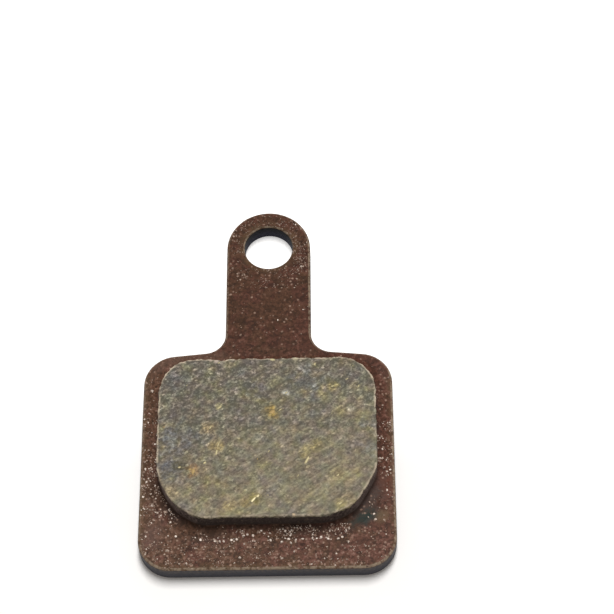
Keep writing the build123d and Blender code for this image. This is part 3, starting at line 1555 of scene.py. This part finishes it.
@dataclass
class Studio:
    """A white sweep of floor, soft light from above and behind, and the camera."""

    focal_pixels: float = 1937.3
    frame_pixels: float = 614.0
    sensor: float = 36.0
    elevation: float = 59.96
    heading: float = 1.88
    roll: float = -2.55
    distance: float = 185.2 * MM
    target: Place = (3.625 * MM, -5.685 * MM, 0.0)
    nearest: float = 1.0 * MM
    floor_size: float = 4.0
    floor_drop: float = 0.02 * MM
    floor_colour: Colour = (0.94, 0.925, 0.91)
    floor_mottle: float = 0.97
    floor_glow: float = 0.45
    least_glow: float = 0.06
    glow_from: tuple[float, float] = (-26.0, -4.0)
    sky: float = 0.31
    sky_colour: Colour = (1.0, 0.965, 0.92)
    key_power: float = 7.3
    key_width: float = 0.2
    key_depth: float = 0.5
    key_at: Place = (0.04, 0.26, 0.85)
    key_aim: Place = (0, -15 * MM, 0)

    def floor(self) -> None:
        """Lays the floor just under the plate."""
        Bench.clear()
        bpy.ops.mesh.primitive_plane_add(size=self.floor_size, location=(0, 0, -self.floor_drop))
        floor = Bench.current()
        floor.name = "floor"
        Bench.freeze()
        shader = Shader("floor_paper")
        rays = ("Is Camera Ray", "Is Glossy Ray", "Is Transmission Ray")
        looked, mirrored, through = (shader.node("ShaderNodeLightPath", {}, {}, ray) for ray in rays)
        seen = looked.at_least(mirrored).at_least(through)
        at = shader.place()
        # The glow grows towards the tab: a painted lightening of the floor that takes out its shadow round
        # the tab and in the pin hole
        glowing = seen * shader.part(at, "Y").rise(*self.glow_from).at_least(self.least_glow)
        grain = shader.noise(at, 6.0, shift=2.0)
        mottled = tuple(self.floor_mottle * part for part in self.floor_colour)
        colour = shader.mix(grain, self.floor_colour, mottled)
        paper = shader.node("ShaderNodeBsdfDiffuse", {}, {"Color": colour})
        glow = shader.node("ShaderNodeEmission", {}, {"Color": (1, 1, 1, 1), "Strength": self.floor_glow})
        lit = shader.node("ShaderNodeAddShader", {}, {0: paper, 1: glow})
        mixed = shader.node("ShaderNodeMixShader", {}, {0: glowing, 1: paper, 2: lit})
        floor.data.materials.append(shader.output(mixed))

    def light(self) -> None:
        """Hangs the soft lamp and fills the rest with an even sky."""
        Bench.clear()
        bpy.ops.object.light_add(type="AREA", location=self.key_at)
        lamp = Bench.current()
        lamp.name = "soft_key"
        lamp.data.energy = self.key_power
        lamp.data.shape = "RECTANGLE"
        lamp.data.size = self.key_width
        lamp.data.size_y = self.key_depth
        aim = Vector(self.key_aim) - Vector(self.key_at)
        lamp.rotation_euler = aim.to_track_quat("-Z", "Y").to_euler()
        world = bpy.data.worlds.new("studio_sky")
        world.use_nodes = True
        background = world.node_tree.nodes["Background"]
        background.inputs["Color"].default_value = rgba(self.sky_colour)
        background.inputs["Strength"].default_value = self.sky
        bpy.context.scene.world = world

    def camera(self) -> None:
        """Sets the camera up at the picture's viewing angle."""
        heading = Matrix.Rotation(math.radians(self.heading), 4, "Z")
        tilt = Matrix.Rotation(math.radians(90 - self.elevation), 4, "X")
        roll = Matrix.Rotation(math.radians(self.roll), 4, "Z")
        turn = heading @ tilt @ roll
        back = turn @ Vector((0, 0, self.distance))
        bpy.ops.object.camera_add()
        camera = Bench.current()
        camera.matrix_world = Matrix.Translation(Vector(self.target) + back) @ turn
        camera.data.sensor_width = self.sensor
        camera.data.lens = self.focal_pixels / self.frame_pixels * self.sensor
        camera.data.clip_start = self.nearest
        bpy.context.scene.camera = camera

    def build(self) -> None:
        """Sets up the floor, the light and the camera."""
        self.floor()
        self.light()
        self.camera()
        bpy.context.scene.view_settings.view_transform = "Standard"


def surface_of(piece: bpy.types.Object) -> BVHTree:
    """A piece's surface, to seat small things on."""
    return BVHTree.FromObject(piece, bpy.context.evaluated_depsgraph_get())


def plain(box: Iterable[Iterable[float]]) -> list[list[float]]:
    """A box as plain lists of numbers."""
    return [[float(number) for number in corner] for corner in box]


def main() -> None:
    """Builds and dresses the pad piece by piece."""
    logging.basicConfig(level=logging.INFO, format="%(name)s: %(message)s")
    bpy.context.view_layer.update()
    coat = BondingCoat.fitted()
    plate = BackingPlate(coat).build()
    block = FrictionBlock(Compound(coat))
    moulded = block.build()
    face = surface_of(moulded)
    pieces = [
        plate,
        moulded,
        MetalBits("brass_bits", BRASS, BRASS_BITS, strays=14, seed=4).build(face, block),
        MetalBits("copper_bits", COPPER, COPPER_BITS, strays=2, seed=9).build(face, block),
        BlastGrains().build([surface_of(plate), face], block),
    ]
    for piece in pieces:
        log.info("%s: %d faces", piece.name, len(piece.data.polygons))
    Studio().build()


if __name__ == "__main__":
    main()
